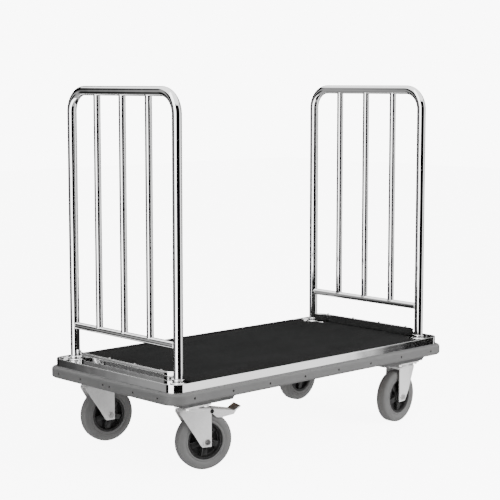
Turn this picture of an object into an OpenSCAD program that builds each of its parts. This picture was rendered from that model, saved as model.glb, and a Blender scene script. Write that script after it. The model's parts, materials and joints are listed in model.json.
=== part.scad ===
// Hotel luggage cart: a carpeted platform on four swivel castors, with a
// barred hoop standing at each end. The long way is X, the floor is z = 0.

/* [Platform] */
// Distance between the two end hoops, post centre to post centre
hoop_spacing = 1226; // [900:10:1400]
// Distance between the two posts of one hoop, centre to centre
post_spacing = 570; // [450:5:700]
// How far the rim band stands outside the post centres at the ends
band_out_x = 65; // [50:1:90]
// How far the rim band stands outside the post centres at the sides
band_out_y = 54; // [50:1:90]
// Radius of the rim band's corners, outside
band_corner_r = 44; // [38:1:54]
// Height of the rim band's top edge above the floor
band_top = 320; // [316:1:330]
// Thickness of the rim band
band_t = 2.5; // [1.5:0.1:4]
// How far the rim band reaches below the deck frame
band_skirt = 7; // [2:1:9]
// Thickness of the plywood deck
board_t = 18; // [12:1:24]
// Thickness of the carpet
carpet_t = 6; // [3:0.5:8]
// How far the carpet lies below the rim band's top edge
carpet_drop = 5; // [1:0.5:10]
// Height of the deck frame's rails
rail_h = 30; // [25:1:50]
// Width of the deck frame's rails
rail_w = 30; // [25:1:50]
// Wall thickness of the rails and the castor channels
rail_t = 3; // [2:0.5:5]
// Width of the deck frame's cross members
cross_w = 50; // [40:1:70]

/* [Bumper] */
// Height of the bumper's section
bumper_h = 38; // [30:1:45]
// How far the bumper stands out from the band
bumper_out = 18; // [12:1:25]
// Radius of the bumper section's outer corners
bumper_r = 9; // [4:0.5:11]
// How far the bumper reaches below the band
bumper_hang = 2; // [0:0.5:6]
// Gap at the two butt joints of the bumper
bumper_gap = 0.6; // [0.2:0.1:2]
// Screws along each long side of the bumper
side_screws = 8; // [4:1:12]
// Distance of a long side's first and last screw from the band's end
side_screw_inset = 75; // [70:1:120]
// Distance of an end's outer screws from the middle
end_screw_outer = 275; // [180:1:285]
// Distance of an end's joint screws from the butt joint
end_screw_joint = 18; // [12:1:30]
// Radius of the bumper screws' heads
bumper_screw_r = 4; // [3:0.5:5]

/* [Hoops] */
// Outside diameter of the hoop tube
hoop_d = 33.7; // [25:0.1:42]
// Wall thickness of the hoop tube
hoop_wall = 2; // [1.2:0.1:3]
// Bend radius of the hoop, on the tube's centre line
bend_r = 75; // [60:1:110]
// Height of the hoop's top tube above the floor, at its axis
hoop_top = 1273; // [900:1:1500]
// Height of the cross bar above the floor, at its axis
cross_bar_z = 437; // [400:1:500]
// Outside diameter of the cross bar and the upright bars
bar_d = 25; // [19:0.1:30]
// Wall thickness of the bars
bar_wall = 1.6; // [1:0.1:2.5]
// Distance between two neighbouring upright bars
bar_pitch = 140; // [100:1:150]

/* [Kerbs] */
// Height of the end kerbs above the rim band
kerb_rise = 27; // [15:1:45]
// Thickness of the end kerbs
kerb_t = 3; // [2:0.5:5]
// How far the kerb stands outside the post centres
kerb_out = 11; // [8:1:16]
// Length at each end of a kerb that curves in to meet its post
kerb_curl = 65; // [60:1:72]
// Bend radius of the kerb's curled ends
kerb_bend_r = 60; // [56:1:64]
// Radius of the plate's pad around a post, where the carpet is cut away
pad_r = 42; // [36:1:50]
// Distance between two neighbouring screws on a kerb
kerb_screw_pitch = 140; // [90:1:145]
// Radius of the kerb screws' heads
kerb_screw_r = 4; // [3:0.5:5]
// Thickness of the polished plate outside each kerb
end_plate_t = 2; // [1.5:0.5:3]
// Radius of a post collar's flange
flange_r = 28; // [24:1:34]
// Thickness of a post collar's flange
flange_t = 4; // [3:0.5:6]
// Height of a post collar above its flange
collar_h = 12; // [8:1:20]
// Wall thickness of a post collar
collar_t = 4; // [3:0.5:6]

/* [Castors] */
// Distance between the castors' swivel axes along the cart
castor_spacing_x = 1080; // [840:5:1140]
// Distance between the castors' swivel axes across the cart
castor_spacing_y = 530; // [400:5:560]
// Diameter of a wheel over its tyre
wheel_d = 200; // [190:1:200]
// Width of a tyre
tyre_w = 46; // [38:1:48]
// Diameter of the hub where the tyre sits on it
rim_d = 128; // [110:1:150]
// Distance from the swivel axis to the axle
trail = 43; // [35:1:50]
// Height of a whole castor, floor to the top of its plate
castor_h = 229; // [229:1:240]
// Length of the castor plate
plate_l = 105; // [100:1:115]
// Width of the castor plate
plate_w = 85; // [80:1:90]
// Thickness of the castor plate
plate_t = 5; // [4:0.5:5]
// Distance between the plate's bolts along the cart
bolt_pitch_x = 80; // [76:1:84]
// Distance between the plate's bolts across the cart
bolt_pitch_y = 60; // [58:1:64]
// Diameter of the plate's bolts
bolt_d = 10; // [8:0.5:10]
// Depth of the castor channels under the deck
channel_h = 32; // [25:1:40]
// How far a castor channel's foot reaches outboard of its castors
channel_out = 70; // [60:1:90]
// How far a castor channel's foot reaches inboard of its castors
channel_in = 150; // [70:1:200]
// Thickness of the fork's sheet
fork_t = 4; // [3:0.5:4.5]
// Width of the fork between its legs
fork_gap = 58; // [56:1:64]
// Diameter of the axle bolt
axle_d = 12; // [10:0.5:14]
// Diameter of the king pin
king_d = 12; // [10:0.5:14]
// Spokes on each side of a hub
hub_spokes = 5; // [4:1:7]
// Width of a hub's spokes
spoke_w = 19; // [12:1:20]

/* [Brakes] */
// How far the pedal turns to brake the wheel, in degrees
pedal_travel = 12; // [8:1:12]
// Length of the pedal from its pin to its tip
pedal_len = 112; // [104:1:124]
// Thickness of the pedal's sheet
pedal_t = 2.5; // [2:0.5:3]
// Length of the pedal's tread
tread_l = 29; // [24:1:34]
// How far the tread tilts up, in degrees
tread_tilt = 33; // [20:1:40]
// Thickness of the tread
tread_t = 4; // [3:0.5:5]
// Diameter of the pedal's pin
pedal_pin_d = 6; // [5:0.5:7]

/* [Hidden] */
$fn = 96;
// Clearances: a running fit on the radius, a seated fit on the radius, and a
// gap between two pieces that slide or turn past each other
run_fit = 0.05;
seat_fit = 0.2;
slip = 0.4;

// Heights, from the floor up
channel_top = castor_h + channel_h;
frame_top = channel_top + rail_h;
board_top = frame_top + board_t;
carpet_top = board_top + carpet_t;
plate_top = board_top + end_plate_t;
band_low = channel_top - band_skirt;
band_high = max(band_top, carpet_top + carpet_drop);
bumper_low = band_low - bumper_hang;
kerb_top = band_high + kerb_rise;

// The platform's outline
post_x = hoop_spacing / 2;
post_y = post_spacing / 2;
band_x = post_x + band_out_x;
band_y = post_y + band_out_y;
inner_x = band_x - band_t;
inner_y = band_y - band_t;
inner_r = band_corner_r - band_t;
deck_fit = 0.3;

// Sections of the tubes
hoop_r = hoop_d / 2;
bar_r = bar_d / 2;
straight_y = post_y - bend_r;
bend_z = hoop_top - bend_r;
bar_ys = [-bar_pitch, 0, bar_pitch];

// The kerbs' plan
kerb_x = post_x + kerb_out;
pad_in = 14;
curl_reach = kerb_curl - hoop_r - collar_t / 2;
curl_angle = asin(curl_reach / kerb_bend_r);

// Screw places
side_screw_x = band_x - side_screw_inset;
side_screw_step = 2 * side_screw_x / (side_screws - 1);
end_screw_mid = (end_screw_outer + end_screw_joint) / 2;
end_screw_ys = [for (s = [-1, 1]) for (y = [end_screw_joint, end_screw_mid, end_screw_outer]) s * y];
kerb_screw_ys = [for (i = [-1.5:1:1.5]) i * kerb_screw_pitch];
bumper_mid_z = bumper_low + bumper_h / 2;
screw_recess = 5;
kerb_head_h = 3;

// Castors: name, place of the swivel axis, and the way the wheel trails
CORNERS = ["front_left", "rear_left", "front_right", "rear_right"];
SIDES = [[-1, -1], [-1, 1], [1, -1], [1, 1]];
HEADINGS = [-18, -10, 186, 184];
wheel_r = wheel_d / 2;
rim_r = rim_d / 2;
axle_z = wheel_r;
crown_gap = 10;
fork_top = wheel_d + crown_gap + fork_t;
leg_in = fork_gap / 2;
leg_out = leg_in + fork_t;
race_r = 30;
cone_h = 4;
cup_low = fork_top + cone_h + slip;
plate_low = castor_h - plate_t;
king_r = king_d / 2;
king_head_r = 10;
king_head_h = 6;
axle_r = axle_d / 2;
sleeve_r = axle_r + 2;
bearing_r = sleeve_r + 7;
bearing_w = 10;
boss_r = bearing_r + 7;
boss_w = 50;
hub_w = tyre_w - 6;
rim_wall = 9;
hub_web = 6;
spoke_in = 4;
axle_head_h = 8;
axle_head_r = 11;
bolt_head_h = 6.4;
bolt_head_r = 9;
nut_h = 8;

// Brake pedal, in its castor's own frame
pin_x = trail + 19;
pin_z = wheel_d + 3.5;
pin_r = pedal_pin_d / 2;
flange_gap = tyre_w / 2 + 2;
flange_out = flange_gap + pedal_t;
web_start = 7;
web_high = 5;
web_end = pedal_len - tread_l * cos(tread_tilt);
web_low = -10;
web_slope = atan((web_high - web_low) / (web_end - web_start));

// Shared shapes

// Points of an arc around a centre
function arc(c, r, from, to, n = 16) =
    [for (i = [0:n]) c + r * [cos(from + (to - from) * i / n), sin(from + (to - from) * i / n)]];

// Points of a rectangle with round corners, around the origin
function round_rect(hx, hy, r) = concat(
    arc([hx - r, hy - r], r, 0, 90), arc([r - hx, hy - r], r, 90, 180),
    arc([r - hx, r - hy], r, 180, 270), arc([hx - r, r - hy], r, 270, 360));

// Sweeps a section around a rectangle with round corners. The section's x is
// the distance outside the line and its y is the height.
module around(hx, hy, r) {
    for (turn = [0, 180]) rotate(turn) {
        translate([hx - r, hy - r]) rotate_extrude(angle = 90) translate([r, 0]) children();
        translate([r - hx, hy - r]) rotate(90) rotate_extrude(angle = 90) translate([r, 0]) children();
        translate([hx, hy - r, 0]) rotate([90, 0, 0]) linear_extrude(2 * (hy - r)) children();
        translate([r - hx, hy, 0]) rotate([90, 0, 90]) linear_extrude(2 * (hx - r)) children();
    }
}

module tube(r, wall, h) {
    difference() {
        cylinder(r = r, h = h);
        translate([0, 0, -1]) cylinder(r = r - wall, h = h + 2);
    }
}

module ring(r_out, r_in, h) {
    difference() {
        cylinder(r = r_out, h = h);
        translate([0, 0, -1]) cylinder(r = r_in, h = h + 2);
    }
}

module block(lo, hi) {
    translate(lo) cube(hi - lo);
}

module hexagon(r, h) {
    cylinder(r = r, h = h, $fn = 6);
}

module at_posts() {
    for (sx = [-1, 1]) for (sy = [-1, 1]) translate([sx * post_x, sy * post_y]) children();
}

// Places what follows at the end with the given sign, turned to face it
module at_end(side) {
    mirror([side < 0 ? 1 : 0, 0, 0]) children();
}

// Platform

// Calls its children at each corner, mirrored so that it is always worked out
// at the corner with positive x and y
module at_each_corner() {
    for (mx = [0, 1]) for (my = [0, 1]) mirror([mx, 0, 0]) mirror([0, my, 0]) children();
}

// Plan of the area around a corner post that the end plate covers
module pad_plan(grow) {
    translate([post_x, post_y]) circle(r = pad_r + grow);
    translate([post_x - pad_in - grow, post_y - kerb_curl - grow])
        square([pad_in + band_out_x, kerb_curl + band_out_y + 2 * grow]);
}

module carpet() {
    half_x = kerb_x - kerb_t / 2 - slip;
    color([0.13, 0.13, 0.14]) translate([0, 0, board_top]) difference() {
        translate([-half_x, deck_fit - inner_y, 0]) cube([2 * half_x, 2 * (inner_y - deck_fit), carpet_t]);
        at_each_corner() translate([0, 0, -1]) linear_extrude(carpet_t + 2) pad_plan(slip);
    }
}

module deck_board() {
    hx = inner_x - deck_fit;
    hy = inner_y - deck_fit;
    color([0.62, 0.48, 0.32]) translate([0, 0, frame_top]) difference() {
        linear_extrude(board_t) polygon(round_rect(hx, hy, inner_r));
        at_posts() translate([0, 0, -1]) cylinder(r = hoop_r + seat_fit, h = board_t + 2);
    }
}

module deck_frame() {
    mid_in = rail_w - rail_t;
    color([0.30, 0.30, 0.31]) translate([0, 0, channel_top]) {
        difference() {
            union() {
                around(inner_x, inner_y, inner_r) translate([-rail_w, 0]) square([rail_w, rail_h]);
                for (x = [-post_x, 0, post_x])
                    translate([x - cross_w / 2, rail_w / 2 - inner_y, 0])
                        cube([cross_w, 2 * inner_y - rail_w, rail_h]);
            }
            for (x = [-post_x, 0, post_x])
                translate([x - cross_w / 2 + rail_t, rail_w - inner_y, -1])
                    cube([cross_w - 2 * rail_t, 2 * (inner_y - rail_w), rail_h - rail_t + 1]);
            around(inner_x, inner_y, inner_r)
                translate([-mid_in, -1]) square([mid_in - rail_t, rail_h - rail_t + 1]);
        }
    }
}

module rim_band() {
    color([0.80, 0.80, 0.82]) difference() {
        around(band_x, band_y, band_corner_r)
            translate([-band_t, band_low]) square([band_t, band_high - band_low]);
        bumper_screw_holes(seat_fit);
    }
}

// Bumper

module bumper_section() {
    difference() {
        translate([0, bumper_low]) square([bumper_out, bumper_h]);
        for (z = [bumper_low, bumper_low + bumper_h - bumper_r])
            translate([bumper_out - bumper_r, z]) square([bumper_r + 1, bumper_r]);
    }
    for (z = [bumper_low + bumper_r, bumper_low + bumper_h - bumper_r]) intersection() {
        translate([bumper_out - bumper_r, z]) circle(r = bumper_r);
        translate([bumper_out - bumper_r, bumper_low]) square([bumper_r, bumper_h]);
    }
}

// Puts children at every bumper screw, with z pointing out of the band's face
module at_bumper_screws() {
    for (sy = [-1, 1]) for (i = [0:side_screws - 1])
        translate([i * side_screw_step - side_screw_x, sy * band_y, bumper_mid_z])
            rotate([-sy * 90, 0, 0]) children();
    for (sx = [-1, 1]) for (y = end_screw_ys)
        translate([sx * band_x, y, bumper_mid_z]) rotate([0, sx * 90, 0]) children();
}

module bumper_screw(fit) {
    shank_r = bumper_screw_r / 2;
    translate([0, 0, -band_t - rail_t]) cylinder(r = shank_r + fit, h = bumper_out + rail_t);
    translate([0, 0, bumper_out - screw_recess - bumper_screw_r])
        cylinder(r = bumper_screw_r + fit, h = bumper_screw_r);
}

module bumper_screw_holes(fit) {
    at_bumper_screws() {
        bumper_screw(fit);
        translate([0, 0, bumper_out - screw_recess - bumper_screw_r])
            cylinder(r = bumper_screw_r + fit, h = 2 * bumper_out);
    }
}

module bumper_half(side) {
    reach = band_x + 2 * bumper_out;
    color([0.42, 0.42, 0.43]) difference() {
        around(band_x, band_y, band_corner_r) bumper_section();
        translate([-reach, side > 0 ? bumper_gap / 2 - reach : -bumper_gap / 2, 0])
            cube([2 * reach, reach, band_high]);
        bumper_screw_holes(seat_fit);
    }
}

module bumper_screws() {
    color([0.10, 0.10, 0.10]) intersection() {
        at_bumper_screws() bumper_screw(0);
        union() {
            difference() {
                block([-2 * band_x, -2 * band_y, 0], [2 * band_x, 2 * band_y, band_high]);
                translate([band_t - band_x, band_t - band_y, -1])
                    cube([2 * inner_x, 2 * inner_y, band_high + 2]);
            }
        }
    }
}

// Kerbs and end plates

module kerb_wall() {
    t = kerb_t;
    straight = post_y - kerb_curl;
    translate([kerb_x - t / 2, -straight, board_top]) cube([t, 2 * straight, kerb_top - board_top]);
    for (s = [0, 1]) mirror([0, s, 0])
        translate([kerb_x - kerb_bend_r, straight, plate_top])
            rotate_extrude(angle = curl_angle) translate([kerb_bend_r - t / 2, 0])
                square([t, kerb_top - plate_top]);
}

module kerb(side) {
    color([0.80, 0.80, 0.82]) at_end(side) difference() {
        kerb_wall();
        at_kerb_screws() cylinder(r = kerb_screw_r / 4 + seat_fit, h = 12, center = true);
        at_posts() translate([0, 0, board_top]) {
            cylinder(r = flange_r + slip, h = end_plate_t + flange_t + slip);
            cylinder(r = hoop_r + collar_t + seat_fit, h = kerb_top);
        }
    }
}

module at_kerb_screws() {
    for (y = kerb_screw_ys) translate([kerb_x, y, kerb_top]) children();
}

module kerb_screws() {
    color([0.75, 0.75, 0.77]) for (side = [-1, 1]) at_end(side) at_kerb_screws() {
        cylinder(r = kerb_screw_r, h = kerb_head_h);
        translate([0, 0, -5]) cylinder(r = kerb_screw_r / 4, h = 6);
    }
}

module end_plates() {
    gap = kerb_t / 2 + slip;
    hx = inner_x - deck_fit;
    hy = inner_y - deck_fit;
    color([0.78, 0.78, 0.80]) for (side = [-1, 1]) at_end(side)
        translate([0, 0, board_top]) difference() {
            linear_extrude(end_plate_t) intersection() {
                polygon(round_rect(hx, hy, inner_r));
                union() {
                    translate([kerb_x + gap, -hy]) square([band_out_x, 2 * hy]);
                    for (my = [0, 1]) mirror([0, my]) pad_plan(0);
                }
            }
            at_posts() translate([0, 0, -1]) cylinder(r = hoop_r + seat_fit, h = end_plate_t + 2);
        }
}

module post_collars() {
    color([0.85, 0.85, 0.87]) at_posts() translate([0, 0, plate_top]) difference() {
        union() {
            cylinder(r = flange_r, h = flange_t);
            cylinder(r = hoop_r + collar_t, h = flange_t + collar_h);
        }
        translate([0, 0, -1]) cylinder(r = hoop_r + run_fit, h = flange_t + collar_h + 2);
    }
}

// Hoops and bars

module hoop_solid(r, low) {
    for (s = [-1, 1]) translate([0, s * post_y, low]) cylinder(r = r, h = bend_z - low);
    translate([0, -straight_y, hoop_top]) rotate([-90, 0, 0]) cylinder(r = r, h = 2 * straight_y);
    for (s = [0, 1]) mirror([0, s, 0]) translate([0, straight_y, bend_z])
        rotate([90, 0, 90]) rotate_extrude(angle = 90) translate([bend_r, 0]) circle(r = r);
}

module hoop(side) {
    color([0.82, 0.82, 0.84]) translate([side * post_x, 0, 0]) difference() {
        hoop_solid(hoop_r, frame_top);
        hoop_solid(hoop_r - hoop_wall, frame_top - 1);
    }
}

module cross_bar(side) {
    color([0.82, 0.82, 0.84]) translate([side * post_x, 0, cross_bar_z]) difference() {
        translate([0, -post_y, 0]) rotate([-90, 0, 0]) tube(bar_r, bar_wall, post_spacing);
        for (s = [-1, 1]) translate([0, s * post_y, -2 * bar_r]) cylinder(r = hoop_r, h = 4 * bar_r);
    }
}

module bars(side) {
    color([0.82, 0.82, 0.84]) translate([side * post_x, 0, 0]) difference() {
        for (y = bar_ys) translate([0, y, cross_bar_z]) tube(bar_r, bar_wall, hoop_top - cross_bar_z);
        for (end = [[cross_bar_z, bar_r], [hoop_top, hoop_r]])
            translate([0, -post_y, end[0]]) rotate([-90, 0, 0]) cylinder(r = end[1], h = post_spacing);
    }
}

// Castor mountings, which stay with the platform

module at_castors() {
    for (s = SIDES) translate([s[0] * castor_spacing_x / 2, s[1] * castor_spacing_y / 2]) children();
}

module at_plate_bolts() {
    for (x = [-0.5, 0.5]) for (y = [-0.5, 0.5]) translate([x * bolt_pitch_x, y * bolt_pitch_y]) children();
}

// Section of a castor channel at the right end, x along the cart and y up
function channel_section(wall) =
    let (foot = castor_h + wall, in = castor_spacing_x / 2 - channel_in, out = castor_spacing_x / 2 + channel_out)
    let (lean = wall * (sqrt(2) - 1), high = channel_top + wall, rise = high - foot)
    [[in + lean, foot], [out - lean, foot], [out - lean + rise, high], [in + lean - rise, high]];

module castor_channels() {
    end_y = (castor_spacing_y + bolt_pitch_y) / 2 + bolt_head_r + 1 + rail_t;
    color([0.55, 0.55, 0.56]) for (side = [-1, 1]) at_end(side) difference() {
        translate([0, end_y, 0]) rotate([90, 0, 0]) linear_extrude(2 * end_y) polygon(channel_section(0));
        translate([0, end_y - rail_t, 0]) rotate([90, 0, 0]) linear_extrude(2 * (end_y - rail_t))
            polygon(channel_section(rail_t));
        at_castors() at_plate_bolts() translate([0, 0, castor_h - 1])
            cylinder(r = bolt_d / 2 + seat_fit, h = rail_t + 2);
    }
}

module castor_plates() {
    color([0.72, 0.72, 0.73]) at_castors() translate([0, 0, plate_low]) difference() {
        translate([-plate_l / 2, -plate_w / 2, 0]) cube([plate_l, plate_w, plate_t]);
        at_plate_bolts() translate([0, 0, -1]) cylinder(r = bolt_d / 2 + seat_fit, h = plate_t + 2);
        translate([0, 0, -1]) cylinder(r = king_r + run_fit, h = plate_t + 2);
    }
}

module plate_bolts() {
    shank = plate_t + rail_t + nut_h + 1;
    color([0.60, 0.60, 0.62]) at_castors() at_plate_bolts() {
        translate([0, 0, plate_low - bolt_head_h]) hexagon(bolt_head_r, bolt_head_h);
        translate([0, 0, plate_low]) cylinder(r = bolt_d / 2, h = shank);
        translate([0, 0, castor_h + rail_t]) hexagon(bolt_head_r, nut_h);
    }
}

module race_cups() {
    color([0.70, 0.70, 0.72]) at_castors() translate([0, 0, cup_low])
        ring(race_r, king_r + run_fit, plate_low - cup_low);
}

module king_pins() {
    under = fork_top - fork_t - slip;
    color([0.65, 0.65, 0.67]) at_castors() {
        translate([0, 0, under]) cylinder(r = king_r, h = castor_h - under);
        translate([0, 0, under - king_head_h]) hexagon(king_head_r, king_head_h);
    }
}

// Castor pieces, in a frame with the swivel axis at x = 0 and the axle at
// x = trail, and how a corner places them

module at_corner(i) {
    translate([SIDES[i][0] * castor_spacing_x / 2, SIDES[i][1] * castor_spacing_y / 2, 0])
        rotate(HEADINGS[i]) children();
}

module at_axle() {
    translate([trail, 0, axle_z]) rotate([90, 0, 0]) children();
}

// Side view of the fork, x along the trail and y up
function fork_side() = concat(
    [[-race_r - 20, fork_top + 1], [-race_r - 20, fork_top - 12], [trail - 21, axle_z - 13]],
    arc([trail - 13, axle_z - 10], 8, 200, 270, 6),
    arc([trail + 14, axle_z - 11], 7, 270, 360, 6),
    [[trail + 21, fork_top + 1]]);

module fork(i) {
    bend = 9;
    color([0.72, 0.72, 0.73]) at_corner(i) {
        difference() {
            intersection() {
                translate([0, leg_out, 0]) rotate([90, 0, 0]) linear_extrude(2 * leg_out) polygon(fork_side());
                translate([-2 * race_r, 0, fork_top]) rotate([90, 0, 90]) linear_extrude(4 * race_r)
                    polygon(concat([[-leg_out, -fork_top], [leg_out, -fork_top]],
                        arc([leg_out - bend, -bend], bend, 0, 90), arc([bend - leg_out, -bend], bend, 90, 180)));
            }
            translate([-2 * race_r - 1, 0, fork_top - fork_t]) rotate([90, 0, 90]) linear_extrude(4 * race_r + 2)
                polygon(concat([[-leg_in, -fork_top], [leg_in, -fork_top]],
                    arc([leg_out - bend, fork_t - bend], bend - fork_t, 0, 90),
                    arc([bend - leg_out, fork_t - bend], bend - fork_t, 90, 180)));
            translate([0, 0, fork_top - fork_t - 1]) cylinder(r = king_r + run_fit, h = fork_t + 2);
            at_axle() cylinder(r = axle_r + run_fit, h = 3 * leg_out, center = true);
            translate([pin_x, 0, pin_z]) rotate([90, 0, 0])
                cylinder(r = pin_r + run_fit, h = 3 * leg_out, center = true);
        }
        translate([0, 0, fork_top]) ring(race_r - 3, king_r + run_fit, cone_h);
    }
}

module axle(i) {
    color([0.62, 0.62, 0.64]) at_corner(i) at_axle() {
        translate([0, 0, -leg_out]) cylinder(r = axle_r, h = 2 * leg_out + axle_head_h + 2);
        translate([0, 0, -leg_out - axle_head_h]) hexagon(axle_head_r, axle_head_h);
        translate([0, 0, leg_out]) hexagon(axle_head_r, axle_head_h);
    }
}

module sleeve(i) {
    color([0.66, 0.66, 0.68]) at_corner(i) at_axle() translate([0, 0, -leg_in])
        ring(sleeve_r, axle_r + run_fit, 2 * leg_in);
}

module bearings(i) {
    color([0.60, 0.60, 0.62]) at_corner(i) at_axle() for (s = [0, 1]) mirror([0, 0, s])
        translate([0, 0, boss_w / 2 - bearing_w]) ring(bearing_r, sleeve_r + run_fit, bearing_w);
}

module hub(i) {
    color([0.07, 0.07, 0.07]) at_corner(i) at_axle() difference() {
        union() {
            translate([0, 0, -hub_w / 2]) ring(rim_r, rim_r - rim_wall, hub_w);
            translate([0, 0, -boss_w / 2]) cylinder(r = boss_r, h = boss_w);
            translate([0, 0, -hub_web / 2]) cylinder(r = rim_r - rim_wall / 2, h = hub_web);
            for (a = [0:360 / hub_spokes:359]) rotate(a)
                translate([boss_r / 2, -spoke_w / 2, spoke_in - hub_w / 2])
                    cube([rim_r - rim_wall / 2 - boss_r / 2, spoke_w, hub_w - 2 * spoke_in]);
        }
        cylinder(r = sleeve_r + 1, h = 2 * boss_w, center = true);
        for (s = [0, 1]) mirror([0, 0, s])
            translate([0, 0, boss_w / 2 - bearing_w]) cylinder(r = bearing_r, h = bearing_w + 1);
    }
}

module tyre(i) {
    half = tyre_w / 2;
    shoulder = 9;
    color([0.40, 0.40, 0.41]) at_corner(i) at_axle() rotate_extrude() {
        translate([rim_r, 3 - half]) square([5, tyre_w - 6]);
        translate([rim_r + 4, -half]) square([wheel_r - rim_r - 4 - shoulder, tyre_w]);
        translate([wheel_r - shoulder - 1, shoulder - half]) square([shoulder + 1, tyre_w - 2 * shoulder]);
        for (s = [-1, 1]) intersection() {
            translate([wheel_r - shoulder, s * (half - shoulder)]) circle(r = shoulder);
            translate([wheel_r - shoulder, -half]) square([shoulder, tyre_w]);
        }
    }
}

// Brake pedal

module at_pin() {
    translate([pin_x, 0, pin_z]) children();
}

// Side view of a pedal flange, from the pin outwards
function pedal_side() = concat(
    arc([0, 0], pin_r + 1.7, 60, 250, 10),
    [[20, -24], [38, -26], [web_end - 4, web_low - 9], [web_end + 8, web_low + 8.5],
     [web_end - 1, web_low + pedal_t / 2], [web_start + 1, web_high + pedal_t / 2]]);

module pedal(i) {
    color([0.70, 0.70, 0.71]) at_corner(i) at_pin() {
        difference() {
            for (y = [-flange_out, flange_gap])
                translate([0, y + pedal_t, 0]) rotate([90, 0, 0]) linear_extrude(pedal_t) polygon(pedal_side());
            rotate([90, 0, 0]) cylinder(r = pin_r + run_fit, h = 4 * flange_out, center = true);
        }
        translate([web_start, -flange_out, web_high]) rotate([0, web_slope, 0])
            cube([(web_end - web_start) / cos(web_slope), 2 * flange_out, pedal_t]);
        translate([web_end - 2, -flange_out, web_low]) rotate([0, -tread_tilt, 0])
            cube([tread_l, 2 * flange_out, tread_t]);
    }
}

module pedal_pin(i) {
    color([0.60, 0.60, 0.62]) at_corner(i) at_pin() rotate([90, 0, 0]) {
        cylinder(r = pin_r, h = 2 * leg_out, center = true);
        for (s = [0, 1]) mirror([0, 0, s]) translate([0, 0, leg_out]) cylinder(r = pin_r + 2, h = 2);
    }
}

module brake_shoe(i) {
    half = tyre_w / 2 - 3;
    shoe_x = 19;
    shoe_l = 22;
    shoe_h = 20;
    color([0.15, 0.15, 0.15]) at_corner(i) at_pin() difference() {
        translate([web_start, -half, web_high]) rotate([0, web_slope, 0])
            translate([shoe_x, 0, -shoe_h]) cube([shoe_l, 2 * half, shoe_h]);
        rotate([0, -pedal_travel, 0]) translate([trail - pin_x, 0, axle_z - pin_z]) rotate([90, 0, 0])
            cylinder(r = wheel_r + slip, h = 2 * tyre_w, center = true);
    }
}

carpet();
deck_board();
deck_frame();
rim_band();
bumper_half(-1);  // bumper_front
bumper_half(1);  // bumper_rear
bumper_screws();
end_plates();
kerb(-1);  // kerb_left
kerb(1);  // kerb_right
kerb_screws();
hoop(-1);  // hoop_left
hoop(1);  // hoop_right
cross_bar(-1);  // cross_bar_left
cross_bar(1);  // cross_bar_right
bars(-1);  // bars_left
bars(1);  // bars_right
post_collars();
castor_channels();
castor_plates();
plate_bolts();
race_cups();
king_pins();
for (i = [0:3]) fork(i);
for (i = [0:3]) axle(i);
for (i = [0:3]) sleeve(i);
for (i = [0:3]) bearings(i);
for (i = [0:3]) hub(i);
for (i = [0:3]) tyre(i);
for (i = [0, 3]) pedal(i);
for (i = [0, 3]) pedal_pin(i);
for (i = [0, 3]) brake_shoe(i);
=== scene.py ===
import json
import math

import bmesh
import bpy
import numpy as np
from mathutils import Matrix, Vector, noise

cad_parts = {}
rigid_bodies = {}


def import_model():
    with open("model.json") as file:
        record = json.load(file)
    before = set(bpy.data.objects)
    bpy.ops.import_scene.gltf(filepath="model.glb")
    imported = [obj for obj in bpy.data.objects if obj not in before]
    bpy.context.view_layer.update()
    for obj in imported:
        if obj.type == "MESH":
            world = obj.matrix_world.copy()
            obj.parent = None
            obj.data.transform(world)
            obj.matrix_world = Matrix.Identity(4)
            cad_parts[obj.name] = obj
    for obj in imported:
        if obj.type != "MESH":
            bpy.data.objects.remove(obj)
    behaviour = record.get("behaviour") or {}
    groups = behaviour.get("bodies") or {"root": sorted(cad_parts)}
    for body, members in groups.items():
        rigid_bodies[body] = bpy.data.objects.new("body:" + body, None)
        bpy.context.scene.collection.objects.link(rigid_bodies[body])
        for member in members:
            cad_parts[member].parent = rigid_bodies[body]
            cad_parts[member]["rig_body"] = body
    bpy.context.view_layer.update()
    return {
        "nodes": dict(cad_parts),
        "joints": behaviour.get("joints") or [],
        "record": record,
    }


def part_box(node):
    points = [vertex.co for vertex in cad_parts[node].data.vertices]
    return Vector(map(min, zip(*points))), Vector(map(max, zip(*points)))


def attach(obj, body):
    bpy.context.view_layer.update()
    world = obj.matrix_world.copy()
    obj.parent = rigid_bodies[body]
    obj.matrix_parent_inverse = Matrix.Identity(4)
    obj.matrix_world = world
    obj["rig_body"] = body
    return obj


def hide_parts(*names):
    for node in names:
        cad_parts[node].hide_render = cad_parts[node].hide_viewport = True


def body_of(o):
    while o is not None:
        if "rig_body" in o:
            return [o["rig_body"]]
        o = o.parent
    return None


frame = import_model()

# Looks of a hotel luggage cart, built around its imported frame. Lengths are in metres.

MM = 0.001
nodes = frame["nodes"]
joints = {joint["name"]: joint for joint in frame["joints"]}
CORNERS = ("front_left", "rear_left", "front_right", "rear_right")
BRAKED = ("front_left", "rear_right")
ENDS = {"left": -1, "right": 1}

# ---------------------------------------------------------------- finishes


class Value:
    """A number, vector or colour in a node tree. Arithmetic on it adds Math nodes."""

    def __init__(self, tree, socket):
        self.tree = tree
        self.socket = socket

    def math(self, operation, *others):
        return self.tree.node("ShaderNodeMath", {"operation": operation}, self, *others)

    def __add__(self, other):
        return self.math("ADD", other)

    def __sub__(self, other):
        return self.math("SUBTRACT", other)

    def __rsub__(self, other):
        return self.tree.node("ShaderNodeMath", {"operation": "SUBTRACT"}, other, self)

    def __mul__(self, other):
        return self.math("MULTIPLY", other)

    def __abs__(self):
        return self.math("ABSOLUTE")

    __radd__ = __add__
    __rmul__ = __mul__


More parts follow.
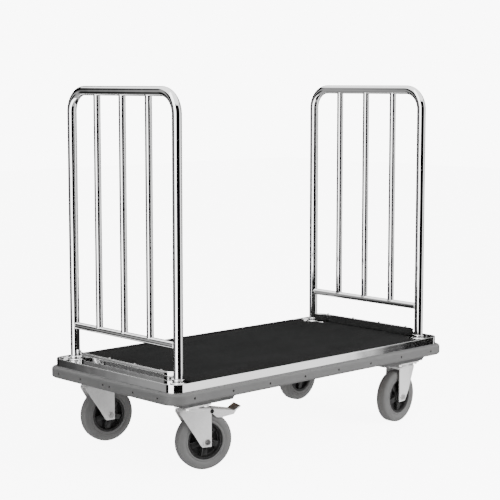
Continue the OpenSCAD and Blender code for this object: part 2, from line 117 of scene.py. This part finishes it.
class Tree:
    """A node tree being filled, with one method that adds any node to it."""

    def __init__(self, tree):
        self.tree = tree
        tree.nodes.clear()

    def node(self, kind, settings=None, *inputs, out=0, **named):
        """Adds a node. settings are its own properties; inputs are values or links, None to leave one be."""
        made = self.tree.nodes.new(kind)
        for key, value in (settings or {}).items():
            setattr(made, key, value)
        for key, value in [*enumerate(inputs), *named.items()]:
            socket = made.inputs[key if isinstance(key, int) else key.replace("_", " ")]
            if isinstance(value, Value):
                self.tree.links.new(value.socket, socket)
            elif value is not None:
                socket.default_value = value
        return Value(self, made.outputs[out]) if made.outputs else made

    def place(self):
        return self.node("ShaderNodeTexCoord", out="Object")

    def axes(self, vector):
        """The three parts of a vector."""
        parts = self.node("ShaderNodeSeparateXYZ", None, vector)
        outputs = parts.socket.node.outputs
        return [Value(self, outputs[i]) for i in range(3)]

    def grain(self, size, detail=3.0, rough=0.5, stretch=(1, 1, 1)):
        """Noise from 0 to 1 with features of about that size."""
        spread = self.node("ShaderNodeVectorMath", {"operation": "MULTIPLY"}, self.place(), stretch)
        return self.node("ShaderNodeTexNoise", None, Vector=spread, Scale=1 / size,
                         Detail=detail, Roughness=rough)

    def step(self, value, low, high):
        """Smooth step from 0 at low to 1 at high."""
        return self.node("ShaderNodeMapRange", {"interpolation_type": "SMOOTHSTEP"}, value, low, high)

    def blend(self, share, first, second):
        """Colour that goes from first to second as share goes from 0 to 1."""
        return self.node("ShaderNodeMix", {"data_type": "RGBA"}, share, None, None, None, None, None,
                         first, second, out=2)

    def bump(self, height, depth, strength=1.0):
        return self.node("ShaderNodeBump", None, Height=height, Distance=depth, Strength=strength)


def grey(level, warm=0.0):
    """A grey, made a little warmer by warm."""
    return (level * (1 + warm), level, level * (1 - warm), 1)


class Finish(Tree):
    """A material for one of the cart's finishes."""

    def __init__(self, name):
        self.material = bpy.data.materials.new(name)
        self.material.use_nodes = True
        super().__init__(self.material.node_tree)

    def surface(self, **sockets):
        shader = self.node("ShaderNodeBsdfPrincipled", None, **sockets)
        self.node("ShaderNodeOutputMaterial", None, shader)
        return self.material


def chromed_tube():
    """Bright chrome, with smudges and small specks."""
    f = Finish("chromed_tube")
    smudge = f.grain(0.06, 4)
    speck = f.step(f.grain(0.004, 2), 0.66, 0.72)
    rough = 0.03 + 0.05 * f.step(smudge, 0.45, 0.75) + 0.05 * speck
    ripple = f.bump(f.grain(0.05, 1, stretch=(1, 1, 0.15)), 0.00035, 0.5)
    return f.surface(Base_Color=f.blend(smudge, grey(0.80), grey(0.90)), Metallic=1.0,
                     Roughness=rough, Normal=ripple)


def polished_sheet():
    """Polished steel sheet, finely brushed and scuffed."""
    f = Finish("polished_sheet")
    cloud = f.grain(0.12, 4)
    brushed = f.grain(0.004, 3, 0.6, stretch=(0.04, 0.04, 1))
    scuff = f.step(f.grain(0.01, 5, 0.7), 0.62, 0.70)
    rough = 0.04 + 0.03 * cloud + 0.04 * brushed + 0.08 * scuff
    wave = f.grain(0.09, 1)
    relief = f.bump(wave + 0.02 * brushed, 0.0012, 0.35)
    return f.surface(Base_Color=f.blend(brushed, grey(0.66), grey(0.80)), Metallic=1.0,
                     Roughness=rough, Normal=relief)


def zinc_sheet():
    """Zinc-plated sheet of forks, plates and pedals, slightly stained."""
    f = Finish("zinc_sheet")
    spangle = f.node("ShaderNodeTexVoronoi", {"feature": "F1"}, Vector=f.place(), Scale=220, out="Color")
    flake = f.axes(spangle)[0]
    cloud = f.grain(0.03, 4)
    tone = f.blend(0.65 * cloud + 0.35 * flake, grey(0.80, 0.004), grey(0.92, 0.004))
    stain = f.step(f.grain(0.012, 5, 0.65), 0.60, 0.74)
    tint = f.blend(0.4 * stain, tone, grey(0.62, 0.01))
    return f.surface(Base_Color=tint, Metallic=0.28, Roughness=0.34 + 0.14 * cloud + 0.12 * stain,
                     Normal=f.bump(cloud + 0.15 * flake, 0.0004, 0.4))


def zinc_fastener():
    """Duller zinc on bolts, pins and other small parts."""
    f = Finish("zinc_fastener")
    cloud = f.grain(0.008, 4)
    turned = f.grain(0.0012, 2)
    return f.surface(Base_Color=f.blend(cloud, grey(0.45, 0.01), grey(0.74, 0.01)), Metallic=0.95,
                     Roughness=0.24 + 0.16 * cloud, Normal=f.bump(turned, 0.0001, 0.4))


def black_screw():
    """Dark screws and rivets."""
    f = Finish("black_screw")
    cloud = f.grain(0.003, 3)
    return f.surface(Base_Color=f.blend(cloud, grey(0.006), grey(0.02)), Metallic=0.4,
                     Roughness=0.38 + 0.2 * cloud, Normal=f.bump(cloud, 0.0001, 0.4))


def bumper_rubber():
    """Grey bumper, rubbed lighter in places."""
    f = Finish("bumper_rubber")
    cloud = f.grain(0.09, 5, 0.6)
    pores = f.grain(0.0014, 3, 0.6)
    rub = f.step(f.grain(0.02, 5, 0.7, stretch=(0.25, 0.25, 3)), 0.60, 0.72)
    tone = f.blend(cloud, grey(0.105, 0.003), grey(0.145, 0.003))
    scuffed = f.blend(0.4 * rub, tone, grey(0.21))
    return f.surface(Base_Color=scuffed, Roughness=0.46 + 0.16 * pores + 0.12 * rub,
                     Normal=f.bump(pores + 1.5 * cloud, 0.00025, 0.5), Specular_IOR_Level=0.45)


def tyre_rubber():
    """Grey tyre, dusty where it rolls."""
    f = Finish("tyre_rubber")
    cloud = f.grain(0.035, 5, 0.6)
    pores = f.grain(0.0016, 3, 0.6)
    across, _, up = f.axes(f.place())
    radius = f.node("ShaderNodeMath", {"operation": "POWER"}, across * across + up * up, 0.5)
    worn = f.step(radius, 0.093, 0.0995)
    dust = worn * f.step(f.grain(0.006, 4, 0.7), 0.35, 0.65)
    tone = f.blend(cloud, grey(0.11, 0.005), grey(0.15, 0.005))
    return f.surface(Base_Color=f.blend(0.45 * dust, tone, grey(0.16, 0.015)),
                     Roughness=0.50 + 0.14 * cloud + 0.15 * worn,
                     Normal=f.bump(pores + cloud, 0.0003, 0.5), Specular_IOR_Level=0.4)


def hub_plastic():
    """Black plastic wheel centre, with dust."""
    f = Finish("hub_plastic")
    cloud = f.grain(0.02, 4)
    texture = f.grain(0.0009, 2)
    dust = f.step(f.grain(0.009, 5, 0.7), 0.52, 0.75)
    tone = f.blend(0.35 * dust, grey(0.008), grey(0.05))
    return f.surface(Base_Color=tone, Roughness=0.34 + 0.2 * cloud + 0.1 * dust,
                     Normal=f.bump(texture, 0.00012, 0.5))


def carpet_pile():
    """Near-black short pile, with its lay and some traffic wear."""
    f = Finish("carpet_pile")
    tuft = f.node("ShaderNodeTexVoronoi", {"feature": "F1"}, Vector=f.place(), Scale=420, out="Distance")
    fibre = f.grain(0.0009, 3, 0.7)
    lay = f.grain(0.16, 4, 0.55, stretch=(0.5, 1.2, 1))
    tread = f.grain(0.035, 4, 0.6)
    shade = 0.45 * f.step(lay, 0.3, 0.7) + 0.25 * tread + 0.3 * fibre
    tone = f.blend(shade, grey(0.004), grey(0.014))
    pile = (1 - tuft) + 0.6 * fibre
    return f.surface(Base_Color=tone, Roughness=0.86 + 0.1 * fibre, Specular_IOR_Level=0.02,
                     Sheen_Weight=0.02, Sheen_Roughness=0.5, Normal=f.bump(pile, 0.0012, 0.8))


def plywood_edge():
    """The edge of the deck board."""
    f = Finish("plywood_edge")
    up = f.axes(f.place())[2]
    veneer = 0.0016
    sawn = f.node("ShaderNodeMath", {"operation": "PINGPONG"}, up, veneer)
    ply = f.step(abs(sawn - veneer / 2), 0.0002, 0.0006)
    figure = f.grain(0.02, 6, 0.6, stretch=(0.15, 2, 6))
    warm = f.blend(figure, (0.30, 0.19, 0.10, 1), (0.52, 0.36, 0.21, 1))
    return f.surface(Base_Color=f.blend(0.5 * ply, warm, (0.20, 0.12, 0.06, 1)),
                     Roughness=0.6 + 0.2 * figure, Normal=f.bump(figure, 0.0004, 0.5))


def frame_paint():
    """Dark paint of the deck frame."""
    f = Finish("frame_paint")
    peel = f.grain(0.003, 3)
    cloud = f.grain(0.08, 4)
    return f.surface(Base_Color=f.blend(cloud, grey(0.05), grey(0.10)), Roughness=0.42 + 0.2 * cloud,
                     Normal=f.bump(peel, 0.0003, 0.5))


def shoe_rubber():
    """Dark rubber of the brake shoes."""
    f = Finish("shoe_rubber")
    cloud = f.grain(0.006, 4)
    return f.surface(Base_Color=f.blend(cloud, grey(0.015), grey(0.04)), Roughness=0.6 + 0.2 * cloud,
                     Normal=f.bump(cloud, 0.0004, 0.6))


def shade_darkened_sheet():
    """Bare sheet under the deck, darkened all over as painted shade beneath the bumper, with darker patches
    of dirt.
    """
    f = Finish("shade_darkened_sheet")
    cloud = f.grain(0.03, 4)
    dirt = f.step(f.grain(0.05, 5, 0.65), 0.45, 0.75)
    tone = f.blend(0.6 * dirt, grey(0.13), grey(0.06, 0.008))
    return f.surface(Base_Color=tone, Metallic=0.5, Roughness=0.42 + 0.15 * cloud + 0.12 * dirt,
                     Normal=f.bump(cloud, 0.0004, 0.4))


FINISH_OF_SLOT = {
    "chrome": chromed_tube(), "polished_steel": polished_sheet(), "zinc_steel": zinc_sheet(),
    "fastener_steel": zinc_fastener(), "dark_fastener": black_screw(), "frame_steel": frame_paint(),
    "carpet": carpet_pile(), "plywood": plywood_edge(), "bumper_rubber": bumper_rubber(),
    "tyre_rubber": tyre_rubber(), "hub_plastic": hub_plastic(), "shoe_rubber": shoe_rubber(),
}

# ---------------------------------------------------------------- mesh tools


def build(name, verts, faces, slot, body, node=(), place=None, crease=35):
    """Makes a piece from vertices and faces, with its finish, and lets it ride on a body."""
    mesh = bpy.data.meshes.new(name)
    mesh.from_pydata([tuple(v) for v in verts], [], faces)
    work = bmesh.new()
    work.from_mesh(mesh)
    bmesh.ops.recalc_face_normals(work, faces=work.faces)
    work.to_mesh(mesh)
    work.free()
    return finish_piece(name, mesh, slot, body, node, place, crease)


def finish_piece(name, mesh, slot, body, node=(), place=None, crease=35):
    """Turns a mesh into a piece of the cart: the finish of its slot, its body, and the hiding of the node
    that it stands for.
    """
    mesh.shade_smooth()
    mesh.set_sharp_from_angle(angle=math.radians(crease))
    mesh.materials.clear()
    mesh.materials.append(FINISH_OF_SLOT[slot])
    piece = bpy.data.objects.new(name, mesh)
    bpy.context.scene.collection.objects.link(piece)
    if place is not None:
        piece.matrix_world = place
    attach(piece, body)
    if node:
        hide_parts(*([node] if isinstance(node, str) else node))
    return piece


def soften(piece, width, segments=2):
    """Rounds a piece's sharp edges."""
    bevel = piece.modifiers.new("soft_edges", "BEVEL")
    bevel.width = width
    bevel.segments = segments
    bevel.limit_method = "ANGLE"
    bevel.angle_limit = math.radians(40)


def sweep(frames, section, closed_path=False):
    """Vertices and faces of a closed section carried along frames of (point, side, up)."""
    verts = [p + u * side + v * up for p, side, up in frames for u, v in section]
    n, m = len(section), len(frames)
    faces = []
    for i in range(m if closed_path else m - 1):
        for j in range(n):
            a, b = i * n + j, i * n + (j + 1) % n
            c, d = ((i + 1) % m) * n + (j + 1) % n, ((i + 1) % m) * n + j
            faces.append((a, b, c, d))
    if not closed_path:
        faces.append(tuple(range(n - 1, -1, -1)))
        faces.append(tuple(range((m - 1) * n, m * n)))
    return verts, faces


def joined(*parts):
    """Several (vertices, faces) as one."""
    verts, faces = [], []
    for part_verts, part_faces in parts:
        start = len(verts)
        verts += part_verts
        faces += [tuple(start + k for k in face) for face in part_faces]
    return verts, faces


def arc(centre, radius, start, end, steps=8):
    """Points of an arc in a section's plane, angles in degrees."""
    turns = np.radians(np.linspace(start, end, steps + 1))
    return [(centre[0] + radius * math.cos(a), centre[1] + radius * math.sin(a)) for a in turns]


def circle(radius, sides):
    """A section's full circle."""
    return arc((0, 0), radius, 0, 360, sides)[:-1]


X, Y, Z = Vector((1, 0, 0)), Vector((0, 1, 0)), Vector((0, 0, 1))
ORIGIN = Vector((0, 0, 0))


def outline_frames(half_x, half_y, radius, steps=20):
    """Frames round a rectangle with round corners. Side points outwards."""
    frames = []
    for quarter in range(4):
        sx, sy = (1, 1, -1, -1)[quarter], (-1, 1, 1, -1)[quarter]
        for a in np.radians(np.linspace(0, 90, steps + 1) + 90 * (quarter - 1)):
            out = Vector((math.cos(a), math.sin(a), 0))
            centre = Vector((sx * (half_x - radius), sy * (half_y - radius), 0))
            frames.append((centre + radius * out, out, Z))
    return frames


def lathe(section, steps=128):
    """A section of (radius, y) turned about the Y axis."""
    frames = []
    for a in np.linspace(0, 2 * math.pi, steps, endpoint=False):
        frames.append((ORIGIN, Vector((math.cos(a), 0, math.sin(a))), Y))
    return sweep(frames, section, closed_path=True)


def straight_tube(start, end, radius, sides=48):
    """A closed round bar between two points."""
    along = (end - start).normalized()
    side = along.orthogonal().normalized()
    up = along.cross(side)
    return sweep([(start, side, up), (end, side, up)], circle(radius, sides))


def weld_bead(centre, along, radius, size, steps=48):
    """A small ring of weld round a tube's end, with its ripples."""
    side = along.orthogonal().normalized()
    up = along.cross(side)
    frames = []
    for k in range(steps * 2):
        a = math.pi * k / steps
        out = math.cos(a) * side + math.sin(a) * up
        ripple = 1 + 0.12 * math.sin(24 * a)
        frames.append((centre + radius * out, out * ripple, along * ripple))
    return sweep(frames, circle(size, 10), closed_path=True)


# ---------------------------------------------------------------- sizes

hoop_low, hoop_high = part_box("hoop_right")
bar_low, bar_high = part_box("bars_right")
cross_low, cross_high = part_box("cross_bar_right")
band_low, band_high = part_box("rim_band")
carpet_low, carpet_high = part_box("carpet")
collar_low, collar_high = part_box("post_collars")

hoop_r = (hoop_high.x - hoop_low.x) / 2
post_x = (hoop_high.x + hoop_low.x) / 2
post_y = hoop_high.y - hoop_r
top_z = hoop_high.z - hoop_r
bar_r = (bar_high.x - bar_low.x) / 2
bar_pitch = bar_high.y - bar_r
cross_z = (cross_low.z + cross_high.z) / 2

# Bends, wall thicknesses and weld sizes, which no box of the frame gives.
BEND_R = 75 * MM
CORNER_R = 44 * MM
BAND_T = 2.5 * MM
BEAD = 1.4 * MM
KERB_T = 3 * MM
KERB_BEND_R = 60 * MM
KERB_CURL = 65 * MM

# Points closer than this are one.
TINY = 1e-5

# ---------------------------------------------------------------- hoops and bars


def hoop_frames(x):
    """Frames along a hoop's centre line, up one post, over the top and down the other."""
    bend_y, bend_z = post_y - BEND_R, top_z - BEND_R
    points = [(-post_y, hoop_low.z, 180)]
    points += [(-bend_y + BEND_R * math.cos(a), bend_z + BEND_R * math.sin(a), math.degrees(a))
               for a in np.radians(np.linspace(180, 90, 25))]
    points += [(bend_y + BEND_R * math.cos(a), bend_z + BEND_R * math.sin(a), math.degrees(a))
               for a in np.radians(np.linspace(90, 0, 25))]
    points.append((post_y, hoop_low.z, 0))
    frames = []
    for y, z, out in points:
        turn = math.radians(out)
        frames.append((Vector((x, y, z)), Vector((0, math.cos(turn), math.sin(turn))), X))
    return frames


def make_hoops():
    """Each end's hoop, its low cross rail and the bars between, welded together."""
    for end, sign in ENDS.items():
        x = sign * post_x
        verts, faces = sweep(hoop_frames(x), circle(hoop_r, 64))
        build(f"hoop_tube_{end}", verts, faces, "chrome", "root", f"hoop_{end}", crease=60)
        reach = post_y - hoop_r * 0.9
        verts, faces = straight_tube(Vector((x, -reach, cross_z)), Vector((x, reach, cross_z)), bar_r)
        build(f"low_rail_{end}", verts, faces, "chrome", "root", f"cross_bar_{end}", crease=60)
        bars = []
        beads = []
        for y in (-bar_pitch, 0, bar_pitch):
            foot = Vector((x, y, cross_z + bar_r * 0.8))
            head = Vector((x, y, top_z - hoop_r * 0.85))
            bars.append(straight_tube(foot, head, bar_r))
            beads.append(weld_bead(Vector((x, y, cross_z + bar_r * 0.62)), Z, bar_r, BEAD))
            beads.append(weld_bead(Vector((x, y, top_z - hoop_r * 0.80)), Z, bar_r, BEAD))
        build(f"upright_bars_{end}", *joined(*bars), "chrome", "root", f"bars_{end}", crease=60)
        for side in (-1, 1):
            beads.append(weld_bead(Vector((x, side * (post_y - hoop_r * 0.82), cross_z)), Y, bar_r, BEAD))
        build(f"weld_beads_{end}", *joined(*beads), "chrome", "root", crease=60)


def make_collars():
    """Post collars: a turned flange with a rounded boss round each post."""
    rim_r = collar_high.x - post_x
    boss_r = hoop_r + 4 * MM
    low, high = collar_low.z, collar_high.z
    step = low + 4 * MM
    section = [(hoop_r, low), (rim_r - 1 * MM, low), (rim_r, low + 1 * MM)]
    section += arc((rim_r - 1.5 * MM, step - 1.5 * MM), 1.5 * MM, 0, 90, 5)
    section += arc((boss_r + 2 * MM, step + 2 * MM), 2 * MM, 270, 180, 5)
    section += arc((boss_r - 2 * MM, high - 2 * MM), 2 * MM, 0, 90, 5)
    section += [(hoop_r + 0.3 * MM, high)]
    parts = []
    for sx in (-1, 1):
        for sy in (-1, 1):
            centre = Vector((sx * post_x, sy * post_y, 0))
            frames = [(centre, Vector((math.cos(a), math.sin(a), 0)), Z)
                      for a in np.linspace(0, 2 * math.pi, 72, endpoint=False)]
            parts.append(sweep(frames, section, closed_path=True))
    build("post_collar_rings", *joined(*parts), "chrome", "root", "post_collars")


# ---------------------------------------------------------------- platform


def make_band():
    """The polished rim: a thin strip with a hemmed, rounded top edge."""
    t, hem = BAND_T, 1.25 * MM
    low, high = band_low.z, band_high.z
    section = [(-t, low), (-0.3 * MM, low), (0, low + 0.3 * MM), (0, high - 5 * MM)]
    section += arc((-hem, high - hem), hem, 0, 180, 8)
    section += [(-t, high - 5 * MM)]
    verts, faces = sweep(outline_frames(band_high.x, band_high.y, CORNER_R, 28), section, closed_path=True)
    build("rim_strip", verts, faces, "polished_steel", "root", "rim_band")


def make_kerb_hems():
    """The rolled hem along the top of each end kerb, following its curled ends."""
    hem = 2.4 * MM
    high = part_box("kerb_right")[1]
    straight = post_y - KERB_CURL
    short = 0.03
    reach = math.asin(min((high.y - straight) / (KERB_BEND_R + KERB_T / 2), 1.0)) - short
    angles = np.linspace(-reach, reach, 30)
    for end, sign in ENDS.items():
        frames = []
        for a in angles:
            out = Vector((sign * math.cos(a), math.sin(a), 0))
            y = math.copysign(straight, a) + KERB_BEND_R * math.sin(a)
            x = sign * (high.x - KERB_T / 2 - KERB_BEND_R * (1 - math.cos(a)))
            frames.append((Vector((x, y, high.z - hem)), out, Z))
        build(f"kerb_hem_{end}", *sweep(frames, circle(hem, 20)), "chrome", "root", crease=60)


def make_carpet():
    """The carpet: the frame's outline cut into small squares, with a tufted, slightly uneven top."""
    work = bmesh.new()
    work.from_mesh(nodes["carpet"].data)
    bmesh.ops.remove_doubles(work, verts=work.verts, dist=TINY)
    step = 9 * MM
    for axis, low, high in ((X, carpet_low.x, carpet_high.x), (Y, carpet_low.y, carpet_high.y)):
        for k in range(1, int((high - low) / step)):
            geometry = work.verts[:] + work.edges[:] + work.faces[:]
            cut = axis * (low + k * step)
            bmesh.ops.bisect_plane(work, geom=geometry, plane_co=cut, plane_no=axis, dist=TINY)
    top = carpet_high.z
    upper = [vert for vert in work.verts if abs(vert.co.z - top) < TINY]
    side = top - 0.1 * MM
    border = {vert for vert in upper if any(f.calc_center_median().z < side for f in vert.link_faces)}
    for vert in upper:
        if vert in border:
            vert.co.z -= 1.6 * MM
            continue
        lay = sum(share * noise.noise(vert.co * scale) for scale, share in ((9, 0.5), (31, 0.35), (120, 0.3)))
        vert.co.z += (0.35 * lay - 0.35) * MM
    mesh = bpy.data.meshes.new("carpet_sheet")
    work.to_mesh(mesh)
    work.free()
    piece = finish_piece("carpet_sheet", mesh, "carpet", "root", "carpet", crease=80)


make_hoops()
make_collars()
make_band()
make_kerb_hems()
make_carpet()

# ---------------------------------------------------------------- castors


def castor_place(corner):
    """The frame of a castor: swivel axis up, x along the trail, on the floor."""
    swivel = Vector(joints[f"swivel_{corner}"]["pos_m"])
    side = Vector(joints[f"roll_{corner}"]["axis"])
    return placed(Vector((swivel.x, swivel.y, 0)), side)


def axle_place(corner):
    """The frame of a wheel: the axle's centre, y along the axle."""
    roll = joints[f"roll_{corner}"]
    return placed(Vector(roll["pos_m"]), Vector(roll["axis"]))


def placed(origin, side):
    """A frame at origin, with y along side and z up."""
    trail = side.cross(Z)
    turn = Matrix((trail, side, Z)).transposed().to_4x4()
    return Matrix.Translation(origin) @ turn


def mirrored(half):
    """A section given for y >= 0, from the inside out, closed over to y < 0."""
    return half + [(r, -y) for r, y in reversed(half)]


def tyre_section():
    """The tyre's turned shape: bead, sidewall, round shoulder and flat tread."""
    half = [(64, 0), (64, 19), (64.6, 20.6), (66.5, 21.4), (69, 21.2), (70.5, 20.2), (72, 20.0),
            (73.5, 20.8), (76, 22.3), (80, 22.9), (86, 22.7), (90, 21.6)]
    points = [(r * MM, y * MM) for r, y in half]
    points += arc((88.5 * MM, 10.5 * MM), 11.2 * MM, 62, 18, 6)
    points += [(99.75 * MM, 7 * MM), (100 * MM, 0.01 * MM)]
    return mirrored(points)


def hub_section():
    """The hub's turned shape: bored boss, thin web and deep rim."""
    half = [(15.2, 0), (15.2, 24.2), (16, 25), (20.5, 25), (22, 23.5), (24.5, 5.5), (26, 4),
            (51, 4), (53.5, 5.5), (56.5, 18.6), (57.5, 19.8), (62.4, 20.2), (63.8, 19.2), (63.8, 0.01)]
    return mirrored([(r * MM, y * MM) for r, y in half])


def hub_spokes(count=5):
    """Broad raised spokes between boss and rim on both faces of the web."""
    parts = []
    # Radius, half width and height of a spoke at each step outwards, in millimetres.
    rows = ((21, 11, 17.0), (24, 9, 17.5), (50, 10.5, 14.5), (54.5, 12.5, 13.5))
    first_turn = math.radians(52)
    for k in range(count):
        turn = 2 * math.pi * k / count + first_turn
        along = Vector((math.cos(turn), 0, math.sin(turn)))
        across = Vector((-math.sin(turn), 0, math.cos(turn)))
        for face in (-1, 1):
            verts = []
            for r, half, height in rows:
                for w, y in ((-half - 1.5, 3.0), (-half, height - 1.2), (-half + 1.5, height),
                             (half - 1.5, height), (half, height - 1.2), (half + 1.5, 3.0)):
                    verts.append(along * r * MM + across * w * MM + Y * face * y * MM)
            faces = [tuple(range(6)), tuple(range(len(verts) - 1, len(verts) - 7, -1))]
            for i in range(len(rows) - 1):
                for j in range(6):
                    a, b = i * 6 + j, i * 6 + (j + 1) % 6
                    faces.append((a, b, b + 6, a + 6))
            parts.append((verts, faces))
    return joined(*parts)


def make_wheels():
    """A tyre and a wheel centre on each axle."""
    for corner in CORNERS:
        body, place = f"wheel_{corner}", axle_place(corner)
        tyre = lathe(tyre_section(), 144)
        build(f"tread_{corner}", *tyre, "tyre_rubber", body, f"tyre_{corner}", place, 50)
        hub = joined(lathe(hub_section(), 96), hub_spokes())
        centre = build(f"wheel_centre_{corner}", *hub, "hub_plastic", body, f"hub_{corner}", place, 30)
        soften(centre, 0.5 * MM)


def make_forks():
    """Each fork takes its frame's shape, with the press fold that turns its leading flank inwards."""
    lean, reach = 10 * MM, 50 * MM
    crown_flat, crown_bend = 20 * MM, 9 * MM
    for corner in CORNERS:
        name = f"fork_{corner}"
        place = castor_place(corner)
        work = bmesh.new()
        work.from_mesh(nodes[name].data)
        work.transform(place.inverted() @ nodes[name].matrix_world)
        bmesh.ops.remove_doubles(work, verts=work.verts, dist=TINY)
        for fold in (0, -2 * MM):
            geometry = work.verts[:] + work.edges[:] + work.faces[:]
            bmesh.ops.bisect_plane(work, geom=geometry, plane_co=X * fold, plane_no=X, dist=TINY)
        for vert in work.verts:
            along = min(max(-vert.co.x / reach, 0), 1)
            down = min(max((abs(vert.co.y) - crown_flat) / crown_bend, 0), 1)
            vert.co.y -= math.copysign(lean * along * down, vert.co.y)
        mesh = bpy.data.meshes.new(f"fork_sheet_{corner}")
        work.to_mesh(mesh)
        work.free()
        fork = finish_piece(f"fork_sheet_{corner}", mesh, "zinc_steel", f"castor_{corner}", name, place)
        soften(fork, 1.0 * MM, 3)


def make_pedals():
    """The pedal's ribbed tread plate and the hollow rivet that it turns on, black as painted shade for the
    pivot hole.
    """
    tilt = math.radians(33)
    along = Vector((math.cos(tilt), 0, math.sin(tilt)))
    normal = Vector((-math.sin(tilt), 0, math.cos(tilt)))
    # The plate lies on the pressed tread, which starts here from the pin. Its section is in millimetres.
    start = Vector((85.7, 0, -10)) * MM
    under, ground, crest = 3.9, 4.4, 5.6
    near_end, far_end, half_width = 0.5, 28.5, 27
    section = [(near_end, under), (near_end, ground)]
    for k in range(8):
        foot = 1 + 3.45 * k
        section += [(foot, ground), (foot + 0.6, crest), (foot + 1.8, crest), (foot + 2.4, ground)]
    section += [(far_end, ground), (far_end, under)]
    ends = [start + (Y * side * half_width) * MM for side in (-1, 1)]
    verts, faces = sweep([(end, along * MM, normal * MM) for end in ends], section)
    half = [(0.1, 0), (0.1, 33.1), (4.4, 33.15), (4.9, 34.4), (6.4, 34.9), (7.0, 34.2), (7.0, 33.05),
            (2.9, 33.02), (2.9, 0.01)]
    rivet = lathe(mirrored([(r * MM, y * MM) for r, y in half]), 40)
    for corner in BRAKED:
        joint = joints[f"pedal_{corner}"]
        place = placed(Vector(joint["pos_m"]), Vector(joint["axis"]))
        body = f"brake_{corner}"
        build(f"pedal_ribs_{corner}", verts, faces, "fastener_steel", body, place=place, crease=20)
        pin = f"pedal_pin_{corner}"
        carrier = body_of(nodes[pin])[0]
        # The rivet's black finish is painted shade for the dark pivot hole; its hollow head is real relief.
        build(f"pivot_rivet_painted_shade_{corner}", *rivet, "dark_fastener", carrier, pin, place, 40)


make_wheels()
make_forks()
make_pedals()

# ---------------------------------------------------------------- frame nodes that stay

# Width of the rounding on the sharp edges of the nodes whose names start so, in millimetres.
SOFT_EDGES = {
    "kerb_left": 1.3, "kerb_right": 1.3, "kerb_screws": 0.6, "end_plates": 0.5, "castor_channels": 1.2,
    "castor_plates": 0.9, "plate_bolts": 0.6, "axle": 0.6, "pedal": 0.7, "bumper_front": 1.4,
    "bumper_rear": 1.4, "brake_shoe": 0.8,
}

# The castor channels get this dark sheet in place of their zinc: painted shade for their place under the
# bumper.
shade_darkened_finish = shade_darkened_sheet()
slots = {part["node"]: part["material_slot"] for part in frame["record"]["subparts"]}
for name, piece in nodes.items():
    piece.data.materials.clear()
    piece.data.materials.append(shade_darkened_finish if name == "castor_channels" else FINISH_OF_SLOT[slots[name]])
    for start, width in SOFT_EDGES.items():
        if name.startswith(start):
            soften(piece, width * MM)

# ---------------------------------------------------------------- floor, light and camera

STUDIO_LEVEL = 0.95
BACKDROP_LEVEL = 9.0
FLOOR_GLOW = 7.6
DARK_ROOM = 0.004

# What the chrome reflects: direction round the cart, half width and softness in degrees, and brightness.
PANELS = ((-80, 22, 2, 5.0), (36.5, 12, 1.5, 2.2), (-137, 6, 5, 0.45), (70, 7, 2, 1.6), (112, 4, 2, 0.6))


def make_floor():
    """A pale glowing floor that the camera sees but the cart's reflections and shading don't."""
    mesh = bpy.data.meshes.new("studio_floor")
    half = 14
    corners = [(-half, -half, 0), (half, -half, 0), (half, half, 0), (-half, half, 0)]
    mesh.from_pydata(corners, [], [(0, 1, 2, 3)])
    floor = bpy.data.objects.new("studio_floor", mesh)
    bpy.context.scene.collection.objects.link(floor)
    f = Finish("studio_floor")
    cloud = f.grain(0.8, 2)
    tone = f.blend(cloud, grey(0.84), grey(0.88))
    mesh.materials.append(f.surface(Base_Color=tone, Roughness=0.7 + 0.1 * cloud,
                                    Emission_Color=grey(1.0), Emission_Strength=FLOOR_GLOW))
    floor.visible_glossy = False
    floor.visible_diffuse = False
    floor.visible_shadow = False


def make_world():
    """A white studio. Glossy rays see a dark room whose bright panels draw streaks on the chrome."""
    world = bpy.data.worlds.new("studio")
    world.use_nodes = True
    bpy.context.scene.world = world
    t = Tree(world.node_tree)
    x, y, z = t.axes(t.node("ShaderNodeTexCoord", out="Generated"))
    round_about = t.node("ShaderNodeMath", {"operation": "ARCTAN2"}, x, 0 - y) * (180 / math.pi)
    panels = DARK_ROOM
    for centre, half, soft, level in PANELS:
        panels = panels + level * (1 - t.step(abs(round_about - centre), half - soft, half + soft))
    ceiling = 2.4 * t.step(z, 0.5, 0.6) + 0.5 * (1 - t.step(z, -0.75, -0.45))
    seen = t.node("ShaderNodeMath", {"operation": "MAXIMUM"}, panels, ceiling)
    glossy = t.node("ShaderNodeLightPath", out="Is Glossy Ray")
    camera = t.node("ShaderNodeLightPath", out="Is Camera Ray")
    level = STUDIO_LEVEL + camera * (BACKDROP_LEVEL - STUDIO_LEVEL) + glossy * (seen - STUDIO_LEVEL)
    shade = t.node("ShaderNodeBackground", None, Color=grey(1.0), Strength=level)
    t.node("ShaderNodeOutputWorld", None, shade)


def area_light(name, place, aim, size, power):
    """A soft square light, left out of reflections."""
    light = bpy.data.lights.new(name, "AREA")
    light.size = size
    light.energy = power
    lamp = bpy.data.objects.new(name, light)
    lamp.location = place
    lamp.visible_glossy = False
    lamp.rotation_euler = (Vector(aim) - Vector(place)).to_track_quat("-Z", "Y").to_euler()
    bpy.context.scene.collection.objects.link(lamp)


def make_camera():
    """A long lens, a little above the hoops, looking down at one corner of the deck."""
    look_down, turned = 6.69, -43.3
    camera = bpy.data.cameras.new("camera")
    camera.lens = 103
    camera.sensor_width = 36
    eye = bpy.data.objects.new("camera", camera)
    eye.location = (-3.631, -3.833, 1.302)
    eye.rotation_euler = (math.radians(90 - look_down), 0, math.radians(turned))
    bpy.context.scene.collection.objects.link(eye)
    bpy.context.scene.camera = eye


make_floor()
make_world()
area_light("key", (1.6, -3.8, 2.0), (0, 0, 0.3), 2.0, 190)
area_light("fill", (-3.2, -2.2, 3.6), (0, 0, 0.4), 2.2, 70)
make_camera()
